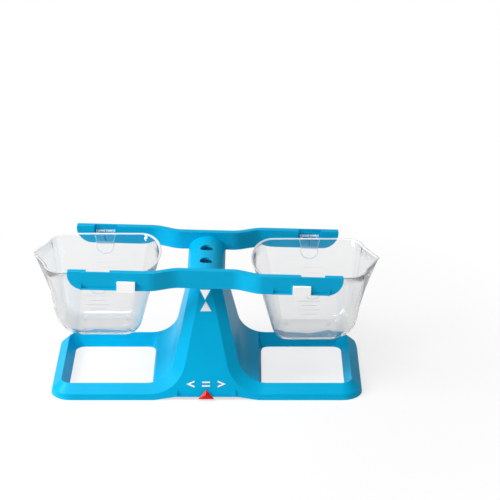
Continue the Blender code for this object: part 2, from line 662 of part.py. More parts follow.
def build_slider(parts, cutters, red, panel_frame):
    half = SLIDER_WIDTH / 2
    back = -REST_GAP
    foot = -SLIDER_EDGE + SLIDER_FLOOR_GAP
    thin, proud = back - SLIDER_EDGE_THICKNESS, back - SLIDER_PROUD
    top = foot + SLIDER_HEIGHT
    shape = bmesh.new()
    rear = [shape.verts.new(p) for p in ((-half, back, foot), (half, back, foot), (0, back, top))]
    face = [shape.verts.new(p) for p in ((-half, thin, foot), (half, thin, foot), (0, thin, top))]
    middle = shape.verts.new((0, proud, foot + SLIDER_PEAK_SHARE * SLIDER_HEIGHT))
    shape.faces.new(rear)
    shape.faces.new([rear[0], face[0], face[1], rear[1]])
    shape.faces.new([face[0], middle, face[1]])
    shape.faces.new([face[0], face[2], middle])
    shape.faces.new([middle, face[2], face[1]])
    shape.faces.new([rear[0], rear[2], face[2], face[0]])
    shape.faces.new([rear[2], rear[1], face[1], face[2]])
    bmesh.ops.recalc_face_normals(shape, faces=shape.faces)
    slider = add_object("comparison_slider", shape, parts, panel_frame, red)
    slider.location = (0, 0, SLIDER_EDGE)

    # A hook goes under the stand's lower edge and up behind its wall
    inner = STAND_WALL + REST_GAP
    hook = [
        (back - OVERLAP, foot),
        (inner + SLIDER_EDGE_THICKNESS, foot),
        (inner + SLIDER_EDGE_THICKNESS, SLIDER_LIP_HEIGHT),
        (inner, SLIDER_LIP_HEIGHT),
        (inner, -REST_GAP - PANEL_LEAN * inner),
        (back - OVERLAP, -REST_GAP),
    ]
    lip = add_object("slider_hook", prism(hook, -half * 0.7, half * 0.7, "X"), cutters, slider)
    low = SIGN_TRACK_ABOVE_EDGE - REST_GAP
    high = SIGN_TRACK_ABOVE_EDGE + SIGN_TRACK_THICKNESS + REST_GAP
    groove = add_object(
        "slider_track_groove", box((-SLIDER_WIDTH, -SIGN_TRACK_PROUD - REST_GAP, low), (SLIDER_WIDTH, OVERLAP, high)),
        cutters, slider,
    )
    combine(slider, "DIFFERENCE", [groove])
    combine(slider, "UNION", [lip])
    return slider


# Buckets, each with its origin on its knife edge and its nose towards +X


def bottom_curve(drop, radius):
    """How far a wall has curved in this far below the rim."""
    share = max(0.0, drop - BUCKET_HEIGHT + radius) / radius
    return BUCKET_BOTTOM_SQUASH * radius * (1 - math.sqrt(max(0.0, 1 - share * share)))


def bucket_ring(drop, inset):
    """Plan outline this far below the rim, anticlockwise from the nose."""
    shrink = BUCKET_DRAFT * drop + bottom_curve(drop, BUCKET_BOTTOM_RADIUS) + inset
    share = (BUCKET_HALF_DEPTH - shrink) / BUCKET_HALF_DEPTH
    deep = BUCKET_HALF_DEPTH - shrink
    inner_end = BUCKET_HALF_LENGTH - shrink
    end = BUCKET_HALF_LENGTH - BUCKET_NOSE_END_DRAFT * drop - bottom_curve(drop, BUCKET_NOSE_END_RADIUS) - inset
    corner_long, corner_deep = BUCKET_CORNER_LENGTH * share, BUCKET_CORNER_DEPTH * share
    round_long = BUCKET_INNER_END_ROUND * share
    quarter = math.pi / 2
    outline = [(end + max(BUCKET_NOSE - BUCKET_NOSE_TAPER * drop, BUCKET_NOSE_LEAST), 0)]
    outline += arc((end - corner_long, deep - corner_deep), (corner_long, corner_deep), 0, quarter, RIM_CORNER_STEPS)
    outline += arc((-inner_end + round_long, 0), (round_long, deep), quarter, 3 * quarter, RIM_END_STEPS)
    outline += arc(
        (end - corner_long, -deep + corner_deep), (corner_long, corner_deep), 3 * quarter, 4 * quarter, RIM_CORNER_STEPS
    )
    return [(x - BUCKET_INBOARD_SHIFT, y) for x, y in outline]


def bucket_skin():
    """The bucket's outer skin, open at the top."""
    levels = [(0, -RIM_LIP), (RIM_LIP_HEIGHT, -RIM_LIP * 0.6), (RIM_LIP_HEIGHT * 1.5, 0)]
    straight_end = BUCKET_HEIGHT - BUCKET_NOSE_END_RADIUS
    levels += [(straight_end * share, 0) for share in (0.35, 0.68, 1.0)]
    last_turn = math.asin(1 - BUCKET_BOTTOM_RADIUS / BUCKET_NOSE_END_RADIUS)
    for i in range(1, BUCKET_NOSE_END_STEPS + 1):
        turn = last_turn * i / BUCKET_NOSE_END_STEPS
        levels.append((straight_end + BUCKET_NOSE_END_RADIUS * math.sin(turn), 0))
    for i in range(1, BUCKET_BOTTOM_STEPS + 1):
        turn = math.pi / 2 * i / BUCKET_BOTTOM_STEPS
        levels.append((BUCKET_HEIGHT - BUCKET_BOTTOM_RADIUS * (1 - math.sin(turn)), 0))
    shape = bmesh.new()
    rings = []
    for drop, inset in levels:
        height = BUCKET_RIM_ABOVE_KNIFE - drop
        rings.append([shape.verts.new((x, y, height)) for x, y in bucket_ring(drop, inset)])
    for upper, lower in zip(rings, rings[1:]):
        loft(shape, [*upper, upper[0]], [*lower, lower[0]])
    shape.faces.new(rings[-1])
    bmesh.ops.recalc_face_normals(shape, faces=shape.faces)
    shape.faces.ensure_lookup_table()
    if shape.faces[-1].normal.z > 0:
        bmesh.ops.reverse_faces(shape, faces=shape.faces)
    return shape


def hanger_shapes():
    """What one long side of a bucket hangs by, on its +Y side: a bar on three ribs, a knife and a tab."""
    half, rib = HANGER_HALF_LENGTH, HANGER_RIB
    tip, root = HANGER_TIP_Y, TAB_INNER_Y + TAB_THICKNESS / 2
    inside = tip - rib
    near, far = HANGER_RIB_X - rib / 2, HANGER_RIB_X + rib / 2
    plate = [
        (-far, root), (-far, inside), (-half, inside), (-half, tip), (half, tip), (half, inside), (far, inside),
        (far, root), (near, root), (near, inside), (rib / 2, inside), (rib / 2, root), (-rib / 2, root),
        (-rib / 2, inside), (-near, inside), (-near, root),
    ]
    top = BUCKET_RIM_ABOVE_KNIFE
    yield "plate", prism(plate, top - HANGER_PLATE, top)
    knife = [(0, 0), (rib / 2, rib), (rib / 2, top - OVERLAP), (-rib / 2, top - OVERLAP), (-rib / 2, rib)]
    yield "knife", prism(knife, root, tip - OVERLAP / 2, "Y")
    wide, neck, corner = TAB_HALF_WIDTH, TAB_NECK_HALF_WIDTH, TAB_CORNER_RADIUS
    high, quarter = top - TAB_BELOW_RIM, math.pi / 2
    tab = arc((-wide + corner, high - corner), corner, quarter, 2 * quarter, 3)
    tab += [(-wide, top - TAB_SHOULDER_DROP), (-neck, top - TAB_NECK_DROP)]
    tab += arc((0, top - TAB_HEIGHT + neck), neck, 2 * quarter, 4 * quarter, 16)
    tab += [(neck, top - TAB_NECK_DROP), (wide, top - TAB_SHOULDER_DROP)]
    tab += arc((wide - corner, high - corner), corner, 0, quarter, 3)
    yield "tab", prism(tab, TAB_INNER_Y, TAB_INNER_Y + TAB_THICKNESS, "Y")


def build_bucket(name, side, parts, cutters, clear):
    """One bucket, upright under its notches; side is -1 for the left one, whose nose points to -X."""
    arm = Matrix.Rotation(BEAM_TILT, 3, "Y") @ Vector((side * HOOK_X, 0, NOTCH_FLOOR + REST_GAP))
    bucket = add_object(name, bucket_skin(), parts, material=clear)
    bucket.location = Vector((0, 0, FULCRUM_HEIGHT)) + arm
    if side < 0:
        bucket.rotation_euler.z = math.pi
    wall = bucket.modifiers.new("wall", "SOLIDIFY")
    wall.thickness = BUCKET_WALL
    wall.offset = -1.0
    wall.use_even_offset = True

    helpers = []
    for depth, row in ((-1, "front"), (1, "rear")):
        for part, shape in hanger_shapes():
            if depth < 0:
                bmesh.ops.rotate(shape, verts=shape.verts, cent=(0, 0, 0), matrix=Matrix.Rotation(math.pi, 3, "Z"))
            helpers.append(add_object(f"{name}_{row}_{part}", shape, cutters, bucket))
    for x in (-FOOT_X, FOOT_X):
        for y in (-FOOT_Y, FOOT_Y):
            foot = bmesh.new()
            place = Matrix.Translation((x - BUCKET_INBOARD_SHIFT, y, BUCKET_RIM_ABOVE_KNIFE - BUCKET_HEIGHT))
            bmesh.ops.create_cone(
                foot, cap_ends=True, segments=16, radius1=FOOT_RADIUS, radius2=FOOT_RADIUS,
                depth=2 * FOOT_HEIGHT, matrix=place,
            )
            helpers.append(add_object(f"{name}_foot_{x / MM:+.0f}_{y / MM:+.0f}", foot, cutters, bucket))
    combine(bucket, "UNION", helpers)
    shade_round(bucket, 30)
    return bucket


def main():
    clear_scene()
    parts = new_collection("bucket_balance")
    cutters = new_collection("cutters", hidden=True)
    blue = plastic("blue plastic", (0.0, 0.36, 0.66), 0.3)
    clear = plastic("clear plastic", (0.93, 0.96, 0.97), 0.08, 0.3)
    white = plastic("white plastic", (0.9, 0.9, 0.89), 0.4)
    red = plastic("red plastic", (0.8, 0.03, 0.02), 0.3)

    panel_frame = add_empty("front_panel_frame", parts, (0, -STAND_DEPTH / 2, 0), turn_x=-PANEL_ANGLE)
    fulcrum = add_empty("fulcrum_axis", parts, (0, 0, FULCRUM_HEIGHT), turn_y=BEAM_TILT)
    build_stand(parts, cutters, blue, panel_frame)
    build_beam(parts, cutters, blue, fulcrum)
    build_clip("left_zero_clip", LEFT_CLIP_X, parts, white, fulcrum)
    build_clip("right_zero_clip", RIGHT_CLIP_X, parts, white, fulcrum)
    build_marks(parts, white, panel_frame, fulcrum)
    build_slider(parts, cutters, red, panel_frame)
    build_bucket("left_bucket", -1, parts, cutters, clear)
    build_bucket("right_bucket", 1, parts, cutters, clear)


main()
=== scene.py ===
"""Bucket balance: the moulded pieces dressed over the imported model.

The stand, beam, clips and slider keep their own shapes with the moulded edges rolled over. The clear
buckets are lofted anew from their outlines, with a rolled rim, a pouring nose and hangers.
Everything is in metres; the front faces -Y.
"""

import json
import math

import bmesh
import bpy
from mathutils import Matrix, Vector


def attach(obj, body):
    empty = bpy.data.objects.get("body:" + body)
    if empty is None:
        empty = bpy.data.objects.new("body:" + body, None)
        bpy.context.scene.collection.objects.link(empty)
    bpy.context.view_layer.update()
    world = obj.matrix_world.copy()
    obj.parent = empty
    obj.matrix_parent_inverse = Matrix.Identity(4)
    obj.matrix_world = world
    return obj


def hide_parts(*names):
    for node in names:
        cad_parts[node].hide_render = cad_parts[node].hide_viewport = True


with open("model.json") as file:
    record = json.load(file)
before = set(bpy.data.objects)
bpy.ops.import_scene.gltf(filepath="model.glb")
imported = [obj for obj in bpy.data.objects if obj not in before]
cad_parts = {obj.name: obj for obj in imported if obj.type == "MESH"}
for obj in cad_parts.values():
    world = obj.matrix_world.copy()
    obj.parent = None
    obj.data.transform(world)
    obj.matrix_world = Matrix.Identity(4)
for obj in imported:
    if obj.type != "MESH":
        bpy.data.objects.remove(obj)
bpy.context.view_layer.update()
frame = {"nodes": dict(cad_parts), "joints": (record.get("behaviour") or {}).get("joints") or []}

MM = 0.001
QUARTER = math.pi / 2

# Camera, as the picture was taken
CAMERA_PLACE = (0.053, -2.027, 1.070)
CAMERA_DOWN = math.radians(24.11)
CAMERA_REACH = 50
SENSOR = 36.0
LENS = 131.6

# Lights: where each hangs, what it is aimed at, how wide it is and how strong
LIGHTS = {
    "key": ((-1.48, -0.4, 1.2), (0, 0, 0.08), 0.85, 35.0),
    "fill": ((0.4, -2.3, 1.5), (0, 0, 0.08), 1.4, 1.0),
    "top": ((-0.5, -0.6, 1.95), (0, 0, 0.1), 0.8, 17.0),
}
SKY_LEVEL = 0.24

# Floor: it glows white in the picture, less so near the object, where its shadow lies
FLOOR_SIZE = 8.0
FLOOR_PALE = 0.9
FLOOR_MIRRORED = 0.55
FLOOR_ROUGHNESS = 0.7
NEAR_GLOW = 0.7
NEAR = 0.22
FAR = 0.5

# Beam, measured from its fulcrum
FULCRUM_HEIGHT = 150 * MM
BEAM_TILT = math.radians(1.57)
RAIL_TOP = 12.8 * MM
RAIL_TOP_SLACK = 0.05 * MM
RAIL_ROUND = 1.6 * MM

# Edges: the turn in degrees from which one is rolled over, or is shaded as a crease, and the radii
ROLLED_FROM = 28
HANGER_ROLLED_FROM = 40
CREASE_FROM = 40
SHELL_CREASE_FROM = 50
EDGE_STEPS = 2
WIDE_EDGE_STEPS = 4
LIES_ALONG = 0.9
LIES_ACROSS = 0.98
STAND_EDGE = 0.9 * MM
BEAM_EDGE = 0.5 * MM
CLIP_EDGE = 0.35 * MM
CLIP_CORNER_ROUND = 2.0 * MM
CLIP_CORNER_BAND = 1.0 * MM
SLIDER_EDGE = 0.25 * MM
MERGE_DISTANCE = 0.03 * MM
FLAT_ANGLE = math.radians(0.5)

# Buckets, measured from the knife edge each hangs on, its nose towards +X
RIM_ABOVE_KNIFE = 11 * MM
HEIGHT = 98 * MM
HALF_LENGTH = 69 * MM
HALF_DEPTH = 58.5 * MM
INBOARD_SHIFT = 3 * MM
DRAFT = 0.27
NOSE_END_DRAFT = 0.13
WALL = 1.8 * MM
BOTTOM_RADIUS = 8 * MM
NOSE_END_RADIUS = 30 * MM
BOTTOM_SQUASH = 0.8
INNER_END_ROUND = 27 * MM
CORNER_LENGTH = 24 * MM
CORNER_DEPTH = 26.5 * MM
CORNER_START = 0.06
NOSE = 16.7 * MM
NOSE_TAPER = 0.24
NOSE_WALL_TAPER = 0.1
NOSE_LEAST = 0.2 * MM
NOSE_TIP_ROUND = 1.6 * MM

# Steps of the buckets' outlines and curves
NOSE_STEPS = 4
CORNER_STEPS = 12
SIDE_STEPS = 4
INNER_END_STEPS = 32
WALL_RINGS = 5
NOSE_CURVE_RINGS = 5
BOTTOM_RINGS = 6

# Rim: a lip that stands out over the wall and fades below, by shares of its height and its overhang
RIM_LIP = 1.0 * MM
RIM_LIP_HEIGHT = 2.0 * MM
LIP_FADE = ((1.0, 0.8), (1.3, 0.2), (1.6, 0.0))
RIM_INNER_SHARE = 0.6
RIM_INNER_SPREAD = 1.4
RIM_ROUND = 0.45 * MM
RIM_ROUND_MIDDLE = 0.3
# How far down the inside the rim's painted highlight reaches
RIM_PAINTED_HIGHLIGHT_DROP = 0.9 * MM

# Hangers
HANGER_HALF_LENGTH = 11.9 * MM
HANGER_RIB = 2 * MM
HANGER_RIB_X = 9.5 * MM
HANGER_PLATE = 2.3 * MM
HANGER_TIP_Y = 69.9 * MM
BAR_EDGE = 0.3 * MM
KNIFE_SHORT = 0.5 * MM
TAB_HALF_WIDTH = 12.7 * MM
TAB_NECK_HALF_WIDTH = 11 * MM
TAB_SHOULDER_DROP = 4.5 * MM
TAB_NECK_DROP = 10 * MM
TAB_CORNER_RADIUS = 2 * MM
TAB_CORNER_STEPS = 5
TAB_HEIGHT = 28.2 * MM
TAB_END_STEPS = 24
TAB_THICKNESS = 1.8 * MM
TAB_SET_IN = 0.4 * MM
TAB_BELOW_RIM = 0.4 * MM
TAB_EDGE = 0.75 * MM

# Feet and measuring lines
FOOT_X = 26.5 * MM
FOOT_Y = 14.5 * MM
FOOT_RADIUS = 2.5 * MM
FOOT_TAPER = 0.85
FOOT_HEIGHT = 1.2 * MM
FOOT_SUNK = 0.1 * MM
FOOT_SIDES = 20
LINE_PITCH = 6.7 * MM
LINE_LENGTHS = (26 * MM, 18 * MM, 26 * MM, 18 * MM)
LINE_FIRST_DROP = 35.5 * MM
LINE_THICKNESS = 0.2 * MM
LINE_LIFT = 0.02 * MM
LINE_HEIGHT = 0.7 * MM
LINE_EDGE = 0.06 * MM

# Moulded skin: a grain is a noise's detail and roughness; a pattern sets in between two of its values
FLOW_GRAIN = (3.0, 0.55)
FLOW_SETS_IN = (0.35, 0.7)
HAIR_SCALE = 60.0
HAIR_GRAIN = (4.0, 0.7)
HAIR_TURN = (0.3, 0.2, 0.5)
HAIR_STRETCH = (1.0, 14.0, 9.0)
HAIR_SETS_IN = (0.62, 0.7)
RUB_DULLS = 0.25
RUB_DEPTH = 0.5
WANDER_FINER = 2.3
WANDER_GRAIN = (3.0, 0.6)
WANDER_MIDDLE = 0.5
PEBBLE_GRAIN = (2.0, 0.6)

# Settled dust
DUST_COLOUR = (0.8, 0.8, 0.78, 1)
DUST_FACING = (0.5, 1.0)
DUST_PATCH_SCALE = 35.0
DUST_PATCH_GRAIN = (4.0, 0.6)
DUST_PATCH_SETS_IN = (0.4, 0.7)
DUST_PATCH_SHARE = 0.6
DUST_SPECK_SCALE = 1400.0
DUST_SPECK_GRAIN = (2.0, 0.6)
DUST_SPECK_SETS_IN = (0.5, 0.75)
DUST_DULLS = 0.5

# Shader values that all plastics of a kind share
OPAQUE_IOR = 1.5
OPAQUE_RELIEF = 0.4 * MM
CLEAR_IOR = 1.49
CLEAR_RELIEF = 1.0 * MM
CLEAR_RELIEF_STRENGTH = 0.02
CLEAR_FLOW_SHADE = 0.98

VECTOR, COLOUR, NUMBER = "NodeSocketVector", "NodeSocketColor", "NodeSocketFloat"
PURE_WHITE = (1, 1, 1, 1)


# Shading effects shared by several finishes


def new_group(name, inputs, outputs):
    """An empty shader node group with named sockets, and its input and output nodes."""
    group = bpy.data.node_groups.new(name, "ShaderNodeTree")
    for label, kind, value in inputs:
        socket = group.interface.new_socket(name=label, in_out="INPUT", socket_type=kind)
        if value is not None:
            socket.default_value = value
    for label, kind in outputs:
        group.interface.new_socket(name=label, in_out="OUTPUT", socket_type=kind)
    return group, group.nodes.new("NodeGroupInput"), group.nodes.new("NodeGroupOutput")


def feed(tree, socket, value):
    """Link a socket into this one, or set it to a plain value."""
    if isinstance(value, bpy.types.NodeSocket):
        tree.links.new(value, socket)
    else:
        socket.default_value = value


def node(tree, kind, links=None, **settings):
    """A node with its settings; links maps its inputs to sockets or plain values."""
    made = tree.nodes.new(kind)
    for key, value in settings.items():
        setattr(made, key, value)
    for key, value in (links or {}).items():
        feed(tree, made.inputs[key], value)
    return made


def maths(tree, operation, first, second, clamp=False):
    links = {0: first, 1: second}
    return node(tree, "ShaderNodeMath", links, operation=operation, use_clamp=clamp).outputs[0]


def ramp(tree, value, low, high, out_low=0.0, out_high=1.0):
    links = {"Value": value, "From Min": low, "From Max": high, "To Min": out_low, "To Max": out_high}
    return node(tree, "ShaderNodeMapRange", links).outputs[0]


def noise(tree, place, scale, grain):
    links = {"Vector": place, "Scale": scale, "Detail": grain[0], "Roughness": grain[1]}
    return node(tree, "ShaderNodeTexNoise", links).outputs[0]


def mix_colour(tree, share, first, second):
    """The colour sockets of a Mix node are its inputs 6 and 7 and its output 2."""
    return node(tree, "ShaderNodeMix", {0: share, 6: first, 7: second}, data_type="RGBA").outputs[2]


def moulded_skin():
    """Plastic as it leaves the mould: flow shades, a fine pebble, gloss that wanders and hairline rubs."""
    inputs = [
        ("Place", VECTOR, None), ("Colour", COLOUR, PURE_WHITE), ("Flow Colour", COLOUR, PURE_WHITE),
        ("Flow Size", NUMBER, 0.04), ("Gloss", NUMBER, 0.3), ("Gloss Spread", NUMBER, 0.06),
        ("Pebble Size", NUMBER, 0.0012), ("Pebble", NUMBER, 0.3), ("Rubs", NUMBER, 0.3),
    ]
    outputs = [("Colour", COLOUR), ("Roughness", NUMBER), ("Height", NUMBER)]
    tree, source, result = new_group("moulded skin", inputs, outputs)
    at = source.outputs

    flow_scale = maths(tree, "DIVIDE", 1.0, at["Flow Size"])
    flow = ramp(tree, noise(tree, at["Place"], flow_scale, FLOW_GRAIN), *FLOW_SETS_IN)
    colour = mix_colour(tree, flow, at["Colour"], at["Flow Colour"])

    combed = node(
        tree, "ShaderNodeMapping", {"Vector": at["Place"], "Rotation": HAIR_TURN, "Scale": HAIR_STRETCH},
    ).outputs[0]
    hairs = ramp(tree, noise(tree, combed, HAIR_SCALE, HAIR_GRAIN), *HAIR_SETS_IN)
    rubs = maths(tree, "MULTIPLY", hairs, at["Rubs"])

    wander_scale = maths(tree, "MULTIPLY", flow_scale, WANDER_FINER)
    wander = noise(tree, at["Place"], wander_scale, WANDER_GRAIN)
    wander = maths(tree, "SUBTRACT", wander, WANDER_MIDDLE)
    gloss = maths(tree, "ADD", maths(tree, "MULTIPLY", wander, at["Gloss Spread"]), at["Gloss"])
    gloss = maths(tree, "ADD", gloss, maths(tree, "MULTIPLY", rubs, RUB_DULLS), clamp=True)

    pebble_scale = maths(tree, "DIVIDE", 1.0, at["Pebble Size"])
    pebble = noise(tree, at["Place"], pebble_scale, PEBBLE_GRAIN)
    raised = maths(tree, "MULTIPLY", pebble, at["Pebble"])
    height = maths(tree, "SUBTRACT", raised, maths(tree, "MULTIPLY", rubs, RUB_DEPTH))

    for label, value in (("Colour", colour), ("Roughness", gloss), ("Height", height)):
        tree.links.new(value, result.inputs[label])
    return tree


def settled_dust():
    """A light film of dust on faces that look up, patchy and finely speckled."""
    inputs = [
        ("Place", VECTOR, None), ("Colour", COLOUR, PURE_WHITE), ("Dust Colour", COLOUR, DUST_COLOUR),
        ("Amount", NUMBER, 0.1),
    ]
    tree, source, result = new_group("settled dust", inputs, [("Colour", COLOUR), ("Mask", NUMBER)])
    at = source.outputs
    normal = node(tree, "ShaderNodeNewGeometry").outputs["Normal"]
    facing = ramp(tree, node(tree, "ShaderNodeSeparateXYZ", {0: normal}).outputs[2], *DUST_FACING)
    patches = noise(tree, at["Place"], DUST_PATCH_SCALE, DUST_PATCH_GRAIN)
    patches = ramp(tree, patches, *DUST_PATCH_SETS_IN)
    specks = noise(tree, at["Place"], DUST_SPECK_SCALE, DUST_SPECK_GRAIN)
    specks = ramp(tree, specks, *DUST_SPECK_SETS_IN)
    spread = maths(tree, "ADD", maths(tree, "MULTIPLY", patches, DUST_PATCH_SHARE), specks)
    film = maths(tree, "MULTIPLY", facing, spread)
    mask = maths(tree, "MULTIPLY", film, at["Amount"], clamp=True)
    tree.links.new(mask, result.inputs["Mask"])
    tree.links.new(mix_colour(tree, mask, at["Colour"], at["Dust Colour"]), result.inputs["Colour"])
    return tree


SKIN = moulded_skin()
DUST = settled_dust()


def use_group(tree, group, **links):
    """A placed group; its inputs are named with underscores for their spaces."""
    made = tree.nodes.new("ShaderNodeGroup")
    made.node_tree = group
    for key, value in links.items():
        feed(tree, made.inputs[key.replace("_", " ")], value)
    return made.outputs


def new_material(name):
    """A material, its node tree and its shader."""
    material = bpy.data.materials.new(name)
    material.use_nodes = True
    return material, material.node_tree, material.node_tree.nodes["Principled BSDF"]


def opaque_plastic(
    name, colour, flow_colour, gloss, spread, pebble_size, pebble, relief, dust=0.0, rubs=0.1, specular=0.5,
    tint=(1, 1, 1),
):
    """An opaque moulded finish built from the shared effects."""
    material, tree, shader = new_material(name)
    shader.inputs["IOR"].default_value = OPAQUE_IOR
    shader.inputs["Specular IOR Level"].default_value = specular
    shader.inputs["Specular Tint"].default_value = (*tint, 1)
    place = node(tree, "ShaderNodeTexCoord").outputs["Object"]
    skin = use_group(
        tree, SKIN, Place=place, Colour=(*colour, 1), Flow_Colour=(*flow_colour, 1), Gloss=gloss,
        Gloss_Spread=spread, Pebble_Size=pebble_size, Pebble=pebble, Rubs=rubs,
    )
    dusted = use_group(tree, DUST, Place=place, Colour=skin["Colour"], Amount=dust)
    dulled = maths(tree, "MULTIPLY", dusted["Mask"], DUST_DULLS)
    bumps = {"Strength": relief, "Distance": OPAQUE_RELIEF, "Height": skin["Height"]}
    feed(tree, shader.inputs["Base Color"], dusted["Colour"])
    feed(tree, shader.inputs["Roughness"], maths(tree, "ADD", skin["Roughness"], dulled, clamp=True))
    feed(tree, shader.inputs["Normal"], node(tree, "ShaderNodeBump", bumps).outputs[0])
    return material


def clear_plastic(name, colour, gloss, clearness, through, light_through):
    """Clear moulding: a slightly wavy polished skin.

    The share of a ray that goes straight through is one value for what is seen, and a larger one for
    light, so that a bucket's shadow stays pale.
    """
    material, tree, shader = new_material(name)
    shader.inputs["Transmission Weight"].default_value = clearness
    shader.inputs["IOR"].default_value = CLEAR_IOR
    place = node(tree, "ShaderNodeTexCoord").outputs["Object"]
    flow_colour = (*(channel * CLEAR_FLOW_SHADE for channel in colour), 1)
    skin = use_group(
        tree, SKIN, Place=place, Colour=(*colour, 1), Flow_Colour=flow_colour, Flow_Size=0.05, Gloss=gloss,
        Gloss_Spread=0.04, Pebble_Size=0.03, Pebble=1.0, Rubs=0.1,
    )
    bumps = {"Strength": CLEAR_RELIEF_STRENGTH, "Distance": CLEAR_RELIEF, "Height": skin["Height"]}
    ray = node(tree, "ShaderNodeLightPath").outputs
    light = maths(tree, "ADD", ray["Is Shadow Ray"], ray["Is Diffuse Ray"], clamp=True)
    feed(tree, shader.inputs["Base Color"], skin["Colour"])
    feed(tree, shader.inputs["Roughness"], skin["Roughness"])
    feed(tree, shader.inputs["Normal"], node(tree, "ShaderNodeBump", bumps).outputs[0])
    feed(tree, shader.inputs["Alpha"], ramp(tree, light, 0.0, 1.0, 1.0 - through, 1.0 - light_through))
    return material


BLUE = opaque_plastic(
    "blue plastic", (0.0, 0.395, 0.68), (0.0, 0.375, 0.65), gloss=0.36, spread=0.06, pebble_size=0.005,
    pebble=0.4, relief=0.015, rubs=0.0, specular=0.22, tint=(0.3, 0.85, 1.0),
)
WHITE = opaque_plastic(
    "white plastic", (0.98, 0.98, 0.97), (0.96, 0.96, 0.95), gloss=0.38, spread=0.08, pebble_size=0.0009,
    pebble=0.4, relief=0.08, dust=0.01,
)
RED = opaque_plastic(
    "red plastic", (0.84, 0.01, 0.008), (0.76, 0.008, 0.008), gloss=0.26, spread=0.08, pebble_size=0.0012,
    pebble=0.3, relief=0.06, rubs=0.012, specular=0.35, tint=(1.0, 0.3, 0.25),
)
PRINT = opaque_plastic(
    "white print", (0.93, 0.93, 0.92), (0.89, 0.9, 0.9), gloss=0.46, spread=0.1, pebble_size=0.0005,
    pebble=0.5, relief=0.12, rubs=0.5,
)
CLEAR = clear_plastic(
    "clear plastic", (0.975, 0.98, 0.985), gloss=0.0, clearness=1.0, through=0.1, light_through=0.8,
)
# The rim's finish: the same clear plastic, whiter and less clear, a painted highlight
CLEAR_PAINTED_HIGHLIGHT = clear_plastic(
    "clear plastic painted highlight", (0.98, 0.99, 1.0), gloss=0.12, clearness=0.3, through=0.15, light_through=0.85,
)
CLEAR_TAB = clear_plastic(
    "clear plastic tab", (0.985, 0.99, 0.995), gloss=0.0, clearness=1.0, through=0.3, light_through=0.9,
)
# The hangers' edge finish: the same clear plastic, greyer and less clear, a painted outline of shade and
# highlight
CLEAR_TAB_PAINTED_OUTLINE = clear_plastic(
    "clear plastic tab painted outline", (0.78, 0.85, 0.92), gloss=0.12, clearness=0.3, through=0.1, light_through=0.85,
)


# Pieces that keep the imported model's shape


def finish_piece(name, shape, materials, body, replaced=(), crease=CREASE_FROM):
    """A finished bmesh as an object that rides on its body."""
    mesh = bpy.data.meshes.new(name)
    shape.to_mesh(mesh)
    shape.free()
    mesh.shade_smooth()
    mesh.set_sharp_from_angle(angle=math.radians(crease))
    for material in materials:
        mesh.materials.append(material)
    piece = bpy.data.objects.new(name, mesh)
    bpy.context.scene.collection.objects.link(piece)
    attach(piece, body)
    if replaced:
        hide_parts(*replaced)
    return piece


def roll_over(shape, edges, radius, steps):
    """Round these edges off."""
    bmesh.ops.bevel(
        shape, geom=edges, offset=radius, offset_type="OFFSET", segments=steps, profile=0.5, affect="EDGES",
        material=-1, clamp_overlap=True,
    )


def sharp_edges(shape, angle=ROLLED_FROM):
    least = math.radians(angle)
    return [edge for edge in shape.edges if len(edge.link_faces) == 2 and edge.calc_face_angle() > least]


def rail_top_edges(shape):
    """The long edges along both sides of each rail's top face."""
    level = Matrix.Rotation(-BEAM_TILT, 4, "Y") @ Matrix.Translation((0, 0, -FULCRUM_HEIGHT))
    chosen = []
    for edge in sharp_edges(shape):
        first, second = (level @ corner.co for corner in edge.verts)
        on_top = min(first.z, second.z) > RAIL_TOP - RAIL_TOP_SLACK
        if on_top and abs(first.x - second.x) > abs(first.y - second.y):
            chosen.append(edge)
    return chosen


def clip_top_corners(shape):
    """The short edges at both top corners of a clip's front wall, which run along Y."""
    band = max(corner.co.z for corner in shape.verts) - CLIP_CORNER_BAND
    chosen = []
    for edge in sharp_edges(shape):
        run = edge.verts[0].co - edge.verts[1].co
        if min(corner.co.z for corner in edge.verts) > band and abs(run.y) > LIES_ALONG * run.length:
            chosen.append(edge)
    return chosen


def rounded_copy(source, name, material, edge, first_edges=None, first_radius=0.0):
    """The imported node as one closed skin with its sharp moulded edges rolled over.

    Edges that are rounder than the rest come first. Each node here has its body's name.
    """
    shape = bmesh.new()
    shape.from_mesh(frame["nodes"][source].data)
    bmesh.ops.remove_doubles(shape, verts=shape.verts, dist=MERGE_DISTANCE)
    bmesh.ops.dissolve_limit(shape, angle_limit=FLAT_ANGLE, verts=shape.verts, edges=shape.edges)
    if first_edges:
        roll_over(shape, first_edges(shape), first_radius, WIDE_EDGE_STEPS)
    roll_over(shape, sharp_edges(shape), edge, EDGE_STEPS)
    piece = finish_piece(name, shape, [material], source, (source,))
    even = piece.modifiers.new("even shading", "WEIGHTED_NORMAL")
    even.mode = "FACE_AREA"
    even.keep_sharp = True


rounded_copy("stand", "hollow_stand", BLUE, STAND_EDGE)
rounded_copy("beam", "rocking_beam", BLUE, BEAM_EDGE, rail_top_edges, RAIL_ROUND)
for side in ("left", "right"):
    rounded_copy(
        f"{side}_zero_clip", f"{side}_clip", WHITE, CLIP_EDGE, clip_top_corners,
        CLIP_CORNER_ROUND,
    )
rounded_copy("comparison_slider", "red_slider", RED, SLIDER_EDGE)
for mark in (
    "index_triangle", "pointer_triangle", "less_than_mark", "equals_mark_upper", "equals_mark_lower",
    "greater_than_mark",
):
    printed = frame["nodes"][mark].data.materials
    printed.clear()
    printed.append(PRINT)


# Buckets


def arc(centre, radius, start, end, steps):
    """Points along an arc; a pair of radii makes it part of an ellipse."""
    wide, high = radius if isinstance(radius, tuple) else (radius, radius)
    turns = [start + (end - start) * i / steps for i in range(steps + 1)]
    return [(centre[0] + wide * math.cos(t), centre[1] + high * math.sin(t)) for t in turns]


def bottom_curve(drop, radius, wall):
    """How far a wall has curved in this far below the rim."""
    share = max(0.0, drop - HEIGHT + radius) / (radius - wall)
    return BOTTOM_SQUASH * (radius - wall) * (1 - math.sqrt(max(0.0, 1 - share * share)))


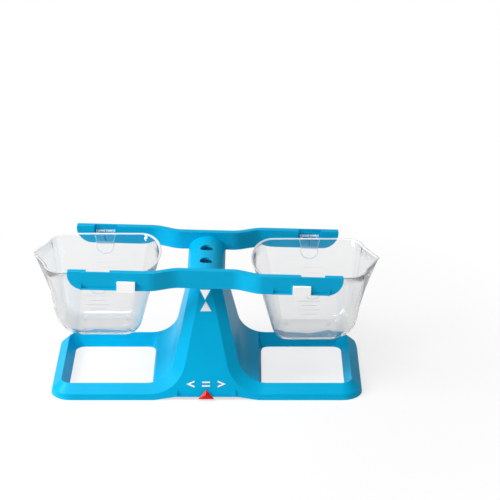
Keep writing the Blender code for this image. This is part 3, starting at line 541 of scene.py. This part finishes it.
def bucket_outline(drop, inset):
    """Plan outline of the bucket this far below its rim, from the nose anticlockwise."""
    wall = max(inset, 0)
    shrink = DRAFT * drop + bottom_curve(drop, BOTTOM_RADIUS, wall) + inset
    share = (HALF_DEPTH - shrink) / HALF_DEPTH
    deep, inner_end = HALF_DEPTH - shrink, HALF_LENGTH - shrink
    end = HALF_LENGTH - NOSE_END_DRAFT * drop - bottom_curve(drop, NOSE_END_RADIUS, wall) - inset
    corner = (CORNER_LENGTH * share, CORNER_DEPTH * share)
    corner_x, corner_y = end - corner[0], deep - corner[1]
    round_long = INNER_END_ROUND * share

    reach = max(NOSE - NOSE_TAPER * drop - NOSE_WALL_TAPER * wall, NOSE_LEAST)
    lead = math.atan2(corner_y, reach)
    tip_x = end + reach - NOSE_TIP_ROUND / math.sin(lead)
    nose = arc((tip_x, 0), NOSE_TIP_ROUND, lead - QUARTER, QUARTER - lead, NOSE_STEPS)
    far = arc((corner_x, corner_y), corner, CORNER_START, QUARTER, CORNER_STEPS)
    long_side = corner_x + inner_end - round_long
    side = [(corner_x - long_side * i / SIDE_STEPS, deep) for i in range(1, SIDE_STEPS)]
    inner = arc((round_long - inner_end, 0), (round_long, deep), QUARTER, 3 * QUARTER, INNER_END_STEPS)
    back = [(x, -y) for x, y in reversed(side)]
    close = [(x, -y) for x, y in reversed(far)]
    middle = len(nose) // 2
    outline = nose[middle:] + far + side + inner + back + close + nose[:middle]
    return [(x - INBOARD_SHIFT, y) for x, y in outline]


def bucket_levels():
    """(drop, inset) of each ring: down the outside, up the inside, and over the rim."""
    straight = HEIGHT - NOSE_END_RADIUS
    bend = math.asin(1 - BOTTOM_RADIUS / NOSE_END_RADIUS)
    drops = [straight * i / WALL_RINGS for i in range(1, WALL_RINGS + 1)]
    for i in range(1, NOSE_CURVE_RINGS + 1):
        drops.append(straight + NOSE_END_RADIUS * math.sin(bend * i / NOSE_CURVE_RINGS))
    outside = [(RIM_ROUND, -RIM_LIP)]
    outside += [(RIM_LIP_HEIGHT * height, -RIM_LIP * overhang) for height, overhang in LIP_FADE]
    outside += [(drop, 0) for drop in drops]
    inside = [(RIM_PAINTED_HIGHLIGHT_DROP, WALL)] + [(drop, WALL) for drop in drops]
    for i in range(1, BOTTOM_RINGS + 1):
        down = math.sin(QUARTER * i / BOTTOM_RINGS)
        outside.append((HEIGHT - BOTTOM_RADIUS * (1 - down), 0))
        inside.append((HEIGHT - BOTTOM_RADIUS + (BOTTOM_RADIUS - WALL) * down, WALL))
    inside.reverse()
    inner, spread = WALL - RIM_LIP * RIM_INNER_SHARE, RIM_ROUND * RIM_INNER_SPREAD
    corner = RIM_ROUND * RIM_ROUND_MIDDLE
    rim = [
        (RIM_ROUND, inner), (corner, inner - spread / 2), (0, inner - spread),
        (0, RIM_ROUND - RIM_LIP), (corner, corner - RIM_LIP),
    ]
    return outside, inside, rim


def bucket_shell():
    """The thin-walled bucket, lofted ring by ring; its rim takes the edge finish, a painted highlight."""
    shape = bmesh.new()

    def ring(drop, inset):
        high = RIM_ABOVE_KNIFE - drop
        points = [shape.verts.new((x, y, high)) for x, y in bucket_outline(drop, inset)]
        return [shape.edges.new((points[i - 1], points[i])) for i in range(len(points))]

    down, up, over = ([ring(*level) for level in levels] for levels in bucket_levels())
    # The walls take the clear finish and the rim, finish 1, the painted highlight
    for chain, finish in ((down, 0), (up, 0), ([up[-1], *over, down[0]], 1)):
        for first, second in zip(chain, chain[1:]):
            for face in bmesh.ops.bridge_loops(shape, edges=first + second)["faces"]:
                face.material_index = finish
    for last in (down[-1], up[0]):
        bmesh.ops.contextual_create(shape, geom=last)
    bmesh.ops.recalc_face_normals(shape, faces=shape.faces)
    return shape


def slab(outline, start, end, axis):
    """A flat outline given thickness along y or z; along y the outline is (x, z)."""
    shape = bmesh.new()
    along_y = axis == "y"
    corners = [shape.verts.new((a, start, b) if along_y else (a, b, start)) for a, b in outline]
    step = Vector((0, end - start, 0)) if along_y else Vector((0, 0, end - start))
    grown = bmesh.ops.extrude_face_region(shape, geom=[shape.faces.new(corners)])["geom"]
    moved = [part for part in grown if isinstance(part, bmesh.types.BMVert)]
    bmesh.ops.translate(shape, verts=moved, vec=step)
    bmesh.ops.recalc_face_normals(shape, faces=shape.faces)
    return shape


def painted_outline_edges(shape, radius, axis):
    """Roll the edges over and give every face that doesn't lie across this axis the edge finish, a painted
    outline of shade and highlight.
    """
    roll_over(shape, sharp_edges(shape, HANGER_ROLLED_FROM), radius, EDGE_STEPS)
    shape.normal_update()
    for face in shape.faces:
        face.material_index = int(abs(getattr(face.normal, axis)) < LIES_ACROSS)
    return shape


def add_to(shape, extra):
    """Merge another bmesh into this one."""
    mesh = bpy.data.meshes.new("part")
    extra.to_mesh(mesh)
    extra.free()
    shape.from_mesh(mesh)
    bpy.data.meshes.remove(mesh)


def hanger():
    """The bar on three ribs, the knife and the tab that one long side hangs by, on +Y."""
    half, rib, top = HANGER_HALF_LENGTH, HANGER_RIB, RIM_ABOVE_KNIFE
    tab_inner = HALF_DEPTH - TAB_SET_IN
    tip, root = HANGER_TIP_Y, tab_inner + TAB_THICKNESS / 2
    inside = tip - rib
    near, far = HANGER_RIB_X - rib / 2, HANGER_RIB_X + rib / 2
    bar = [
        (-far, root), (-far, inside), (-half, inside), (-half, tip), (half, tip), (half, inside),
        (far, inside), (far, root), (near, root), (near, inside), (rib / 2, inside), (rib / 2, root),
        (-rib / 2, root), (-rib / 2, inside), (-near, inside), (-near, root),
    ]
    under_plate = top - HANGER_PLATE
    shape = painted_outline_edges(slab(bar, under_plate, top, "z"), BAR_EDGE, "z")
    knife = [(0, 0), (rib / 2, rib), (rib / 2, under_plate), (-rib / 2, under_plate), (-rib / 2, rib)]
    add_to(shape, slab(knife, root, tip - KNIFE_SHORT, "y"))

    wide, neck, corner = TAB_HALF_WIDTH, TAB_NECK_HALF_WIDTH, TAB_CORNER_RADIUS
    corner_z = top - TAB_BELOW_RIM - corner
    shoulder, narrow = top - TAB_SHOULDER_DROP, top - TAB_NECK_DROP
    tab = arc((-wide + corner, corner_z), corner, QUARTER, 2 * QUARTER, TAB_CORNER_STEPS)
    tab += [(-wide, shoulder), (-neck, narrow)]
    tab += arc((0, top - TAB_HEIGHT + neck), neck, 2 * QUARTER, 4 * QUARTER, TAB_END_STEPS)
    tab += [(neck, narrow), (wide, shoulder)]
    tab += arc((wide - corner, corner_z), corner, 0, QUARTER, TAB_CORNER_STEPS)
    add_to(shape, painted_outline_edges(slab(tab, tab_inner, tab_inner + TAB_THICKNESS, "y"), TAB_EDGE, "y"))
    return shape


def bucket_feet():
    """Four small tapered feet under the floor."""
    shape = bmesh.new()
    middle_z = RIM_ABOVE_KNIFE - HEIGHT - FOOT_HEIGHT / 2 + FOOT_SUNK
    for x in (-FOOT_X, FOOT_X):
        for y in (-FOOT_Y, FOOT_Y):
            bmesh.ops.create_cone(
                shape, cap_ends=True, segments=FOOT_SIDES, radius1=FOOT_RADIUS * FOOT_TAPER,
                radius2=FOOT_RADIUS, depth=FOOT_HEIGHT,
                matrix=Matrix.Translation((x - INBOARD_SHIFT, y, middle_z)),
            )
    return shape


def measuring_lines():
    """Short raised lines down the middle of a long wall, on -Y, each lying on the leaning wall."""
    shape = bmesh.new()
    lean = Matrix.Rotation(math.atan(DRAFT), 4, "X")
    for i, length in enumerate(LINE_LENGTHS):
        drop = LINE_FIRST_DROP + i * LINE_PITCH
        out = HALF_DEPTH - DRAFT * drop + LINE_LIFT
        place = Matrix.Translation((-INBOARD_SHIFT, -out, RIM_ABOVE_KNIFE - drop))
        size = Matrix.Diagonal((length, LINE_THICKNESS, LINE_HEIGHT, 1))
        bmesh.ops.create_cube(shape, size=1, matrix=place @ lean @ size)
    roll_over(shape, shape.edges[:], LINE_EDGE, EDGE_STEPS)
    return shape


def dress_bucket(bucket, pivot):
    """All the pieces of one bucket, hung at its pivot with its nose pointing outwards."""
    outwards = Matrix.Rotation(0 if pivot.x > 0 else math.pi, 4, "Z")
    hung = Matrix.Translation(pivot) @ outwards

    def hang(name, shape, turn=0.0, finishes=(CLEAR, CLEAR_PAINTED_HIGHLIGHT), replaced=(), crease=CREASE_FROM):
        shape.transform(hung @ Matrix.Rotation(turn, 4, "Z"))
        finish_piece(f"{bucket}_{name}", shape, finishes, bucket, replaced, crease)

    hang("shell", bucket_shell(), replaced=(bucket,), crease=SHELL_CREASE_FROM)
    hang("rear_hanger", hanger(), finishes=(CLEAR_TAB, CLEAR_TAB_PAINTED_OUTLINE))
    hang("front_hanger", hanger(), math.pi, (CLEAR_TAB, CLEAR_TAB_PAINTED_OUTLINE))
    hang("feet", bucket_feet())
    hang("front_lines", measuring_lines())
    hang("rear_lines", measuring_lines(), math.pi)


for joint in frame["joints"]:
    if "bucket" in joint["child"]:
        dress_bucket(joint["child"], Vector(joint["pos_m"]))


# Floor, light and camera


def seen_directly(tree):
    """1 where a surface is seen by the camera or through clear plastic, else 0."""
    ray = node(tree, "ShaderNodeLightPath").outputs
    return maths(tree, "ADD", ray["Is Camera Ray"], ray["Is Transmission Ray"], clamp=True)


def pale_floor():
    """A pale floor that keeps the object's shadow and turns white away from it; dimmer in reflections."""
    material, tree, shader = new_material("pale floor")
    shader.inputs["Roughness"].default_value = FLOOR_ROUGHNESS
    mirrored = node(tree, "ShaderNodeLightPath").outputs["Is Glossy Ray"]
    pale, dim = (FLOOR_PALE,) * 3, (FLOOR_MIRRORED,) * 3
    feed(tree, shader.inputs["Base Color"], mix_colour(tree, mirrored, (*pale, 1), (*dim, 1)))
    place = node(tree, "ShaderNodeTexCoord").outputs["Object"]
    away = node(tree, "ShaderNodeVectorMath", {0: place}, operation="LENGTH").outputs["Value"]
    share = maths(tree, "MULTIPLY", seen_directly(tree), ramp(tree, away, NEAR, FAR, NEAR_GLOW, 1.0))
    glow = node(tree, "ShaderNodeEmission", {"Color": PURE_WHITE, "Strength": 1.0})
    mixed = node(tree, "ShaderNodeMixShader", {0: share, 1: shader.outputs[0], 2: glow.outputs[0]})
    tree.links.new(mixed.outputs[0], tree.nodes["Material Output"].inputs["Surface"])
    return material


def lay_floor():
    """A wide flat floor that only the picture needs."""
    shape = bmesh.new()
    bmesh.ops.create_grid(shape, x_segments=1, y_segments=1, size=FLOOR_SIZE)
    mesh = bpy.data.meshes.new("floor")
    shape.to_mesh(mesh)
    shape.free()
    mesh.materials.append(pale_floor())
    floor = bpy.data.objects.new("floor", mesh)
    bpy.context.scene.collection.objects.link(floor)


def soft_light(name, place, aim, size, power):
    """A round soft lamp, turned to face its aim."""
    lamp = bpy.data.lights.new(name, "AREA")
    lamp.shape = "DISK"
    lamp.size = size
    lamp.energy = power
    holder = bpy.data.objects.new(name, lamp)
    holder.location = place
    holder.rotation_euler = (Vector(aim) - Vector(place)).to_track_quat("-Z", "Y").to_euler()
    bpy.context.scene.collection.objects.link(holder)


def studio():
    """The world, white to the camera and dimmer as light, and the soft lights."""
    scene = bpy.context.scene
    scene.view_settings.view_transform = "Standard"
    scene.world = bpy.data.worlds.new("white studio")
    scene.world.use_nodes = True
    tree = scene.world.node_tree
    surround = tree.nodes["Background"]
    surround.inputs["Color"].default_value = PURE_WHITE
    seen = node(tree, "ShaderNodeLightPath").outputs["Is Camera Ray"]
    tree.links.new(ramp(tree, seen, 0.0, 1.0, SKY_LEVEL, 1.0), surround.inputs["Strength"])
    for name, values in LIGHTS.items():
        soft_light(name, *values)


def set_camera():
    lens = bpy.data.cameras.new("camera")
    lens.sensor_width = SENSOR
    lens.lens = LENS
    lens.clip_end = CAMERA_REACH
    camera = bpy.data.objects.new("camera", lens)
    camera.location = CAMERA_PLACE
    camera.rotation_euler = (QUARTER - CAMERA_DOWN, 0, 0)
    bpy.context.scene.collection.objects.link(camera)
    bpy.context.scene.camera = camera


lay_floor()
studio()
set_camera()
bpy.context.view_layer.update()
